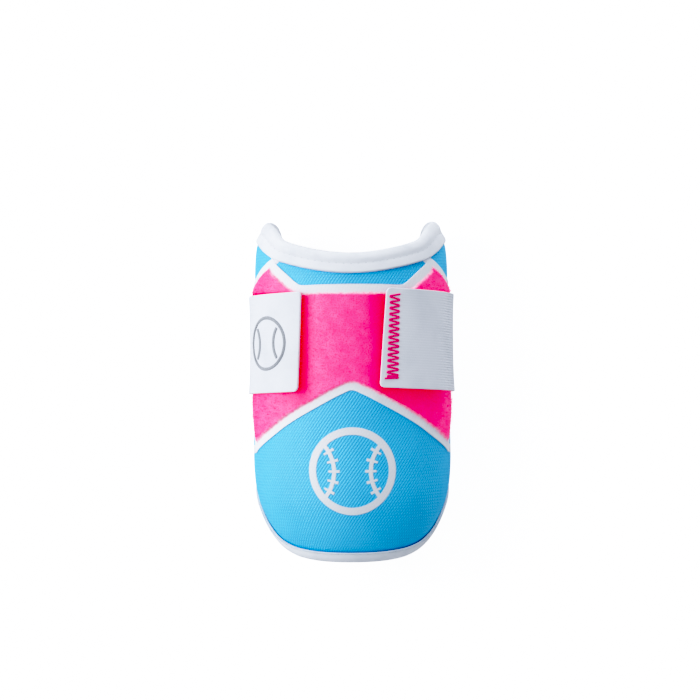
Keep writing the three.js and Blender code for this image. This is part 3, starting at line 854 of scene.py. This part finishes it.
def stitchTree():
    # small thread stitches set end to end along a line
    tree, given, out = repeatTree("seamStitches", [
        ("Pitch", "Float", 0.003), ("Stitch Length", "Float", 0.002), ("Thickness", "Float", 0.0003)])
    line = make(tree, "GeometryNodeMeshToCurve", {"Mesh": given["Geometry"]})
    spots = put(tree, "GeometryNodeCurveToPoints", {
        "Curve": line, "Length": given["Pitch"]}, mode="LENGTH").outputs
    bead = make(tree, "GeometryNodeMeshUVSphere", {"Segments": 8, "Rings": 5, "Radius": 0.5})
    shape = make(tree, "ShaderNodeCombineXYZ", {
        "X": given["Thickness"], "Y": given["Thickness"], "Z": given["Stitch Length"]})
    stitch = make(tree, "GeometryNodeTransform", {"Geometry": bead, "Scale": shape})
    placed = make(tree, "GeometryNodeInstanceOnPoints", {
        "Points": spots["Points"], "Instance": stitch, "Rotation": spots["Rotation"]})
    return closeTree(tree, given, out, placed)


def smoothRing(points, steps):
    # extra samples between the corners of closed sections
    p0, p1, p2, p3 = (np.roll(points, shift, 1) for shift in (1, 0, -1, -2))
    square, cube = 2 * p0 - 5 * p1 + 4 * p2 - p3, 3 * p1 - p0 - 3 * p2 + p3
    shares = np.arange(steps) / steps
    rows = [0.5 * (2 * p1 + (p2 - p0) * u + square * u ** 2 + cube * u ** 3) for u in shares]
    return np.stack(rows, 2).reshape(points.shape[0], -1, points.shape[2])


edgeAt = closedOutline(padEdge)
fine = np.linspace(0, 1, 8001)
edgeLength = runLength(edgeAt(fine))
stationLength = np.linspace(0, edgeLength[-1], binding["stations"], endpoint=False)
stationPlace = np.interp(stationLength, edgeLength, fine)
stationOnes = np.ones(binding["stations"])
edgePoint = edgeAt(stationPlace)
tangent = edgeAt(stationPlace + 2e-4) - edgeAt(stationPlace - 2e-4)
tangent /= np.linalg.norm(tangent, axis=1, keepdims=True)
inward = np.stack([tangent[:, 1], -tangent[:, 0]], -1)
reach = edgeBand(padEdge, stationPlace)


def coverSide(row, lift):
    row = row * stationOnes
    return np.stack([row, coverHeight(np.maximum(row, 0)) + lift], -1)


def liningSide(row, lift):
    row = row * stationOnes
    depth = guardForm["layerGap"] + guardForm["liningThickness"]
    return np.stack([row, padInnerHeight(np.maximum(row, 0)) - depth - lift], -1)


seat, flangeLift = binding["seat"], binding["flangeLift"]
rollEnd, innerReach = binding["outerRows"][0][0], binding["innerRows"][-1][0]
seatIn, seatOut = binding["seatRows"]
noseHeight = (coverSide(0, 0)[0, 1] + liningSide(0, 0)[0, 1]) / 2
section = [coverSide(reach, seat)]
for share, shift, high in binding["flangeRows"]:
    section.append(coverSide(reach + share * (rollEnd - reach) + shift, flangeLift * high))
rollStop = reach - binding["rollClear"]
section += [coverSide(np.minimum(row, rollStop), lift) for row, lift in binding["outerRows"]]
section.append(np.stack([binding["nose"] * stationOnes, noseHeight * stationOnes], -1))
section += [liningSide(row, lift) for row, lift in binding["innerRows"]]
section += [liningSide(row, seat) for row in (innerReach, seatIn, seatOut)]
section += [coverSide(row, seat) for row in (seatOut, seatIn, (reach + seatIn) / 2)]
section = smoothRing(np.stack(section, 1), binding["sideSteps"])
# the seam draws the binding down a little at every stitch
dipShape = np.exp(-((section[..., 0] - binding["seamInset"]) / binding["dipWidth"]) ** 2)
dipShape *= section[..., 1] > binding["dipFloor"]
pull = 1 + binding["dipShare"] * (np.cos(math.tau * stationLength / binding["seamPitch"]) - 1)
section[..., 1] -= binding["seamDip"] * dipShape * pull[:, None]
flatRing = edgePoint[:, None] + inward[:, None] * section[..., :1]
aroundLength = np.arange(section.shape[1]) * binding["aroundStep"]
ringUv = np.stack(np.broadcast_arrays(stationLength[:, None], aroundLength[None]), -1)
roll = ringSolid("edge_binding_roll", layOn(flatRing, section[..., 1]), ringUv)
finishPiece(roll, bindingMaterial(binding), "edge_binding")

seamFlat = edgePoint + inward * binding["seamInset"]
seamHeight = coverHeight(binding["seamInset"]) + binding["seamHeight"]
seamLine = linePiece("seam_line", [(layOn(seamFlat, seamHeight), True)])
bindingThread = threadMaterial("binding_thread", binding["thread"], binding["deepThread"])
bindingStitches = repeatPiece("binding_stitches", seamLine, stitchTree(), {
    "Pitch": binding["seamPitch"] * mm,
    "Stitch Length": binding["stitchLength"] * mm,
    "Thickness": binding["stitchThick"] * 2 * mm,
}, bindingThread)
print("binding made,", len(bindingStitches.data.polygons), "stitch faces")


# the elastic strap and its hook patches

strap = {
    "width": 52.2,
    "thickness": 1.7,
    "corner": 2.6,
    "edgeRound": 0.5,
    "referenceY": 25.0,
    "runOut": 4.0,
    "lift": 2.15,             # inner face over the pad, clear of the loop panel
    "liftOnHook": 3.25,
    "ramp": 10.0,
    "leavesPad": 104.0,
    "flatHalf": 36.5,
    "turnIn": 2.5,
    "turnOut": 3.4,
    "pathSteps": (240, 50, 120),   # along a side, a turn and the back run
    "leftEnd": (26.9, -0.044),     # girth where it stops, lean across its width
    "rightEnd": (15.9, 0.078),
    "line": [(0.0, 25.9), (0.16, 24.3), (0.35, 23.1), (0.5, 23.2), (0.65, 24.0), (0.82, 25.5), (1.0, 27.9)],
    "columns": 460,
    "rows": 64,
    "edgeSteps": (0, 0.06, 0.18, 0.38, 0.75, 1.3, 2.1, 3.0),
    "endSteps": (0, 0.06, 0.18, 0.38, 0.75, 1.3),
    "white": srgb(226, 229, 237),
    "shade": srgb(200, 205, 214),
    "rib": (1.35, 1.1),
    "ribDepth": 0.16,
    "tone": (20.0, 0.6),
    "smoothEnd": 34.0,        # plain finish near the ends, ribs beyond it
    "smoothFade": 14.0,
    "drawnIn": (5.0, 3.2, 0.16),   # stitched band: from the end, half width, depth
    "zigzagTeeth": 14,
    "zigzagTop": 3.2,
    "zigzagFoot": 6.6,
    "zigzagNear": (0.6, 1.2),      # from the strap's end, at the top and at the foot
    "zigzagWide": (8.3, 10.4),
    "zigzagEnds": (-1.4, 1.0),     # the thread's first and last turn stop here
    "barPitch": 0.6,
    "barTurns": 3,
    "threadThick": 0.5,
    "threadLift": 0.02,
    "threadTurn": 0.5,
    "threadSides": 8,
    "threadPink": srgb(255, 104, 160),
    "deepThread": srgb(236, 76, 124),
    "markPlace": 22.5,        # raised ball on the left end, measured from the end
    "markRadius": 13.5,
    "markSeam": (1.42, 0.62),      # centre of its seam's arc and half its angle
    "markThick": 1.0,
    "markSunk": 0.45,
    "markTurn": 0.2,
    "markSides": 10,
    "markGrey": srgb(172, 175, 181),
    "deepGrey": srgb(156, 159, 166),
}
half = strap["width"] / 2
halfThick = strap["thickness"] / 2
sideSteps, turnSteps, backSteps = strap["pathSteps"]

hook = {
    "length": 33.0,
    "width": 44.0,
    "setback": 2.6,
    "thickness": 0.8,
    "lift": 2.1,
    "edgeRound": 0.3,
    "columns": 36,
    "rows": 30,
    "edgeRows": (0.1, 0.3),
    "weave": (1.2, 1.2, 0.0, 0.5),
    "grey": srgb(224, 227, 232),
    "shade": srgb(176, 181, 190),
    "depth": 0.3,
}


def strapSidePath(sign, end):
    girth = np.linspace(end - strap["runOut"], strap["leavesPad"], sideSteps)
    patchEnd = end + hook["setback"] + hook["length"]
    down = np.clip((girth - patchEnd) / strap["ramp"], 0, 1)
    down = down * down * (3 - 2 * down)
    lift = strap["liftOnHook"] + (strap["lift"] - strap["liftOnHook"]) * down + halfThick
    return wrapOn(sign * girth, strap["referenceY"], lift)[:, [0, 2]]


def bezier(p0, p1, p2, p3, count):
    u = np.linspace(0, 1, count)[:, None]
    return (1 - u) ** 3 * p0 + 3 * u * (1 - u) ** 2 * p1 + 3 * u * u * (1 - u) * p2 + u ** 3 * p3


def floorTurn(last, before, sign):
    lean = (last - before) / np.linalg.norm(last - before)
    flatEnd = np.array([sign * strap["flatHalf"], halfThick])
    outside = flatEnd + [sign * strap["turnOut"], 0]
    return bezier(last, last + lean * strap["turnIn"], outside, flatEnd, turnSteps)


leftPath = strapSidePath(-1, strap["leftEnd"][0])
rightPath = strapSidePath(1, strap["rightEnd"][0])[::-1]
leftTurn = floorTurn(leftPath[-1], leftPath[-2], -1)
rightTurn = floorTurn(rightPath[0], rightPath[1], 1)[::-1]
backRun = np.linspace(leftTurn[-1], rightTurn[0], backSteps)
strapPath = np.concatenate([leftPath, leftTurn[1:], backRun[1:-1], rightTurn, rightPath[1:]])
pathLength = runLength(strapPath)
strapLength = pathLength[-1]
waist = tableAt(guardForm["sections"], 1, np.array(strap["referenceY"]))


def pathAt(reachAlong):
    return [np.interp(reachAlong, pathLength, strapPath[:, k]) for k in (0, 1)]


def strapSurface(place, across, height):
    # place from 0 at the left end of the path to 1 at the right, height from the strap's middle
    place, across, height = np.broadcast_arrays(place, across, height)
    reachAlong = place * strapLength
    x, z = pathAt(reachAlong)
    step = 0.8
    aheadX, aheadZ = pathAt(np.minimum(reachAlong + step, strapLength))
    behindX, behindZ = pathAt(np.maximum(reachAlong - step, 0))
    tx, tz = aheadX - behindX, aheadZ - behindZ
    size = np.hypot(tx, tz)
    nx, nz = tz / size, -tx / size
    y = tableAt(strap["line"], 1, place) + across
    spread = tableAt(guardForm["sections"], 1, y) - waist
    lift = height + spread * np.abs(nx)
    return np.stack([x + nx * lift, y, z + nz * lift], -1)


def endCut(across):
    # how far each end stops short at that distance across, with rounded corners
    cut = roundedDrop(half - np.abs(across), strap["corner"])
    ends = strap["leftEnd"], strap["rightEnd"]
    return [(strap["runOut"] + end[1] * across + cut) / strapLength for end in ends]


def strapMaterial(form):
    cloth = {"Roughness": 0.6, "Sheen Weight": 0.15, "Sheen Roughness": 0.4}
    material, tree, shader = newMaterial("strap_elastic", cloth)
    work, mix, fade = helpers(tree)
    flat = flatMillimetres(tree)
    along, across = splitFlat(tree, flat)
    plain = readAttribute(tree, "plain")
    rib = ribOn(tree, across, along, *form["rib"])
    tone = toneOn(tree, flat, *form["tone"])
    colour = mix(fade(tone["Patches"], 0.42, 0.8, 0.0, 0.35), form["white"], form["shade"])
    # painted shade: the rib grooves are darkened, away from the plain ends
    grooveShade = work("MULTIPLY", fade(rib, 0.4, 0.1), work("SUBTRACT", 1.0, plain))
    wire(tree, shader, {
        "Base Color": mix(work("MULTIPLY", grooveShade, 0.35), colour, form["shade"]),
        "Roughness": work("MULTIPLY_ADD", tone["Grain"], 0.15, 0.5),
    })
    strength = work("MULTIPLY_ADD", plain, -0.85, 1.0)
    grain = work("MULTIPLY", tone["Grain"], 0.15)
    addBump(tree, shader, work("MULTIPLY_ADD", rib, strength, grain), form["ribDepth"])
    return material


edgeSteps = np.array(strap["edgeSteps"])
rowAcross = [np.linspace(-half, half, strap["rows"]), -half + edgeSteps, half - edgeSteps]
rowAcross = np.unique(np.concatenate(rowAcross).round(4))
endSteps = np.array(strap["endSteps"]) / strapLength
colShare = [np.linspace(0, 1, strap["columns"]), endSteps, 1 - endSteps]
colShare = np.unique(np.concatenate(colShare).round(7))
startCut, stopCut = endCut(rowAcross)
place = startCut[:, None] + (1 - stopCut - startCut)[:, None] * colShare[None]
across = np.broadcast_to(rowAcross[:, None], place.shape)
fromLeft = (place - startCut[:, None]) * strapLength
fromRight = (1 - stopCut[:, None] - place) * strapLength
fromEnd = np.minimum(fromLeft, fromRight)
nearEdge = np.minimum(half - np.abs(across), fromEnd)
drop = roundedDrop(np.maximum(nearEdge, 0), strap["edgeRound"])
# the stitched band is drawn in a little
bandPlace, bandHalf, bandDepth = strap["drawnIn"]
bandDrop = bandDepth * np.exp(-((fromRight - bandPlace) / bandHalf) ** 4)
plainShare = 1 - np.clip((fromEnd - strap["smoothEnd"]) / strap["smoothFade"], 0, 1)
band = gridSolid(
    "strap_band",
    strapSurface(place, across, halfThick - drop - bandDrop),
    strapSurface(place, across, drop - halfThick),
    np.stack([place * strapLength, across], -1), {"plain": plainShare})
finishPiece(band, strapMaterial(strap), "strap")


def hookMaterial(form):
    material, tree, shader = newMaterial("hook_tape", {"Roughness": 0.5})
    hooks = knitOn(tree, flatMillimetres(tree), *form["weave"])
    wire(tree, shader, {"Base Color": blendColour(tree, hooks["Holes"], form["grey"], form["shade"])})
    addBump(tree, shader, hooks["Height"], form["depth"])
    return material


hookFinish = hookMaterial(hook)
u = gradedShares(hook["columns"], hook["length"], hook["edgeRows"])[None]
v = gradedShares(hook["rows"], hook["width"], hook["edgeRows"])[:, None]
aside = (v - 0.5) * hook["width"]
nearEdge = np.minimum(np.minimum(u, 1 - u) * hook["length"], np.minimum(v, 1 - v) * hook["width"])
trim = roundedDrop(nearEdge, hook["edgeRound"])
for label, sign, end, lineEnd in (("left", -1, "leftEnd", 0), ("right", 1, "rightEnd", -1)):
    stop, lean = strap[end]
    along = stop + hook["setback"] + u * hook["length"] + lean * aside
    y = strap["line"][lineEnd][1] + aside + 0 * along
    if sign < 0:
        along, y = along[:, ::-1], y[:, ::-1]
    patch = gridSolid(
        "hook_tape_" + label,
        wrapOn(sign * along, y, hook["lift"] + hook["thickness"] - trim),
        wrapOn(sign * along, y, hook["lift"] + trim),
        np.stack([along, y], -1))
    finishPiece(patch, hookFinish, "hook_patch_" + label)


def threadTree():
    # a round thread swept along lines, with its turns eased
    tree, given, out = repeatTree("laidThread", [
        ("Radius", "Float", 0.0005), ("Turn", "Float", 0.0004), ("Sides", "Int", 8)])
    line = make(tree, "GeometryNodeMeshToCurve", {"Mesh": given["Geometry"]})
    eased = make(tree, "GeometryNodeFilletCurve", {
        "Curve": line, "Radius": given["Turn"], "Count": 4, "Limit Radius": True}, mode="POLY")
    profile = make(tree, "GeometryNodeCurvePrimitiveCircle", {
        "Resolution": given["Sides"], "Radius": given["Radius"]})
    swept = make(tree, "GeometryNodeCurveToMesh", {"Curve": eased, "Profile Curve": profile, "Fill Caps": True})
    return closeTree(tree, given, out, swept)


laidThread = threadTree()

# zigzag across the right end, closing up to a bar at its foot
top, foot = half - strap["zigzagTop"], -half + strap["zigzagFoot"]
turns = np.arange(strap["zigzagTeeth"] * 2 + 1)
zigAcross = top + (foot - top) * turns / turns[-1]
zigAcross = np.concatenate([zigAcross, foot - strap["barPitch"] * np.arange(1, strap["barTurns"] + 1)])
lean = (top - zigAcross) / (top - foot)
near, wide = (a + (b - a) * lean for a, b in (strap["zigzagNear"], strap["zigzagWide"]))
corners = np.arange(len(zigAcross))
zigInset = near + wide * ((corners + 1) % 2)
zigInset[[0, -1]] += strap["zigzagEnds"]
zigPlace = 1 - endCut(zigAcross)[1] - zigInset / strapLength
between = np.linspace(0, corners[-1], corners[-1] * 4 + 1)
zigPlace, zigAcross = (np.interp(between, corners, values) for values in (zigPlace, zigAcross))
zigRun = strapSurface(zigPlace, zigAcross, halfThick + strap["threadLift"])
zigzagThread = threadMaterial("zigzag_thread", strap["threadPink"], strap["deepThread"])
zigzag = repeatPiece("zigzag_stitch", linePiece("zigzag_line", [(zigRun, False)]), laidThread, {
    "Radius": strap["threadThick"] * mm,
    "Turn": strap["threadTurn"] * mm,
    "Sides": strap["threadSides"],
}, zigzagThread)

# raised plain ball on the left end
turn = np.linspace(0, math.tau, 72, endpoint=False)
markRuns = [(np.stack([np.cos(turn), np.sin(turn)], -1) * strap["markRadius"], True)]
seamCentre, seamAngle = strap["markSeam"]
bow = np.linspace(-seamAngle, seamAngle, 24)
for sign in (-1, 1):
    seamRun = np.stack([sign * (seamCentre - np.cos(bow)), np.sin(bow)], -1) * strap["markRadius"]
    markRuns.append((seamRun[np.hypot(seamRun[:, 0], seamRun[:, 1]) < strap["markRadius"]], False))
markLines = []
for run, closed in markRuns:
    place = (strap["runOut"] + strap["markPlace"] + run[:, 0]) / strapLength
    markLines.append((strapSurface(place, run[:, 1], halfThick - strap["markSunk"]), closed))
markRubber = threadMaterial("grey_rubber", strap["markGrey"], strap["deepGrey"])
ballMark = repeatPiece("strap_ball_mark", linePiece("mark_line", markLines), laidThread, {
    "Radius": strap["markThick"] * mm,
    "Turn": strap["markTurn"] * mm,
    "Sides": strap["markSides"],
}, markRubber)
print("strap made")


# studio

studio = {
    "viewCentre": (-0.00088, 0.0212),
    "viewRoll": -0.007,
    "viewHeight": 1.3765,
    "viewEnd": 20.0,
    "lens": 128.57,
    "sensor": 36.0,
    "lamps": {                # place, size, power
        "key": ((-0.95, 0.28, 0.98), 0.5, 7.6),
        "side": ((-1.3, 0.05, 0.2), 0.8, 8.2),
        "edge": ((1.0, 0.1, 0.3), 0.5, 0.2),
        "top": ((0.3, 1.1, 0.28), 0.6, 6.0),
    },
    "lampAim": 0.04,          # height that the lamps point at
    "worldColour": (0.94, 0.98, 1.03, 1.0),
    "worldLight": 0.65,
    "floorColour": (0.8, 0.8, 0.81, 1),
    "floorGlow": 1.05,
    "floorReach": 12.0,
    "floorLevel": -0.0004,
    "blackLevel": 0.135,
    "kneeLevel": 0.36,        # bright tones are eased from here up to full white
    "fullWhite": 2.0,
}

camera = bpy.data.cameras.new("camera")
camera.lens = studio["lens"]
camera.sensor_width = studio["sensor"]
camera.clip_end = studio["viewEnd"]
viewer = addObject("camera", camera)
viewer.location = (*studio["viewCentre"], studio["viewHeight"])
viewer.rotation_euler = (0, 0, studio["viewRoll"])
scene.camera = viewer

for name, (place, size, power) in studio["lamps"].items():
    lamp = bpy.data.lights.new(name, "AREA")
    lamp.size = size
    lamp.energy = power
    holder = addObject(name, lamp)
    x, y, z = place
    holder.location = place
    holder.rotation_euler = (math.atan2(math.hypot(x, y), z - studio["lampAim"]), 0, math.atan2(x, -y))

world = bpy.data.worlds.new("studio")
world.use_nodes = True
wire(world.node_tree, world.node_tree.nodes["Background"], {0: studio["worldColour"], 1: studio["worldLight"]})
scene.world = world

# tones: a black level, and bright tones eased into white
scene.view_settings.view_transform = "Standard"
scene.view_settings.use_curve_mapping = True
toneCurve = scene.view_settings.curve_mapping
black, knee, full = studio["blackLevel"], studio["kneeLevel"], studio["fullWhite"]
toneCurve.black_level = [black] * 3
toneCurve.white_level = [black + full * (1 - black)] * 3
easing = (full - knee) / (1 - knee)
tonePoints = toneCurve.curves[3].points
tonePoints.new(knee / full / 2, knee / 2)
for step in np.linspace(0, 1, 8, endpoint=False):
    bright = knee + step * (full - knee)
    tonePoints.new(bright / full, knee + (1 - knee) * (1 - (1 - step) ** easing))
toneCurve.update()

floorMesh = bpy.data.meshes.new("floor")
floorReach, floorLevel = studio["floorReach"], studio["floorLevel"]
signs = (-1, -1), (1, -1), (1, 1), (-1, 1)
floorCorners = [(x * floorReach, y * floorReach, floorLevel) for x, y in signs]
floorMesh.from_pydata(floorCorners, [], [(0, 1, 2, 3)])
floor = addObject("floor", floorMesh)
material, tree, shader = newMaterial("pale_floor", {
    "Roughness": 0.9, "Base Color": studio["floorColour"], "Emission Color": (1, 1, 1, 1)})
seen = put(tree, "ShaderNodeLightPath").outputs["Is Camera Ray"]
wire(tree, shader, {"Emission Strength": calc(tree, "MULTIPLY", seen, studio["floorGlow"])})
floorMesh.materials.append(material)
print("studio set")
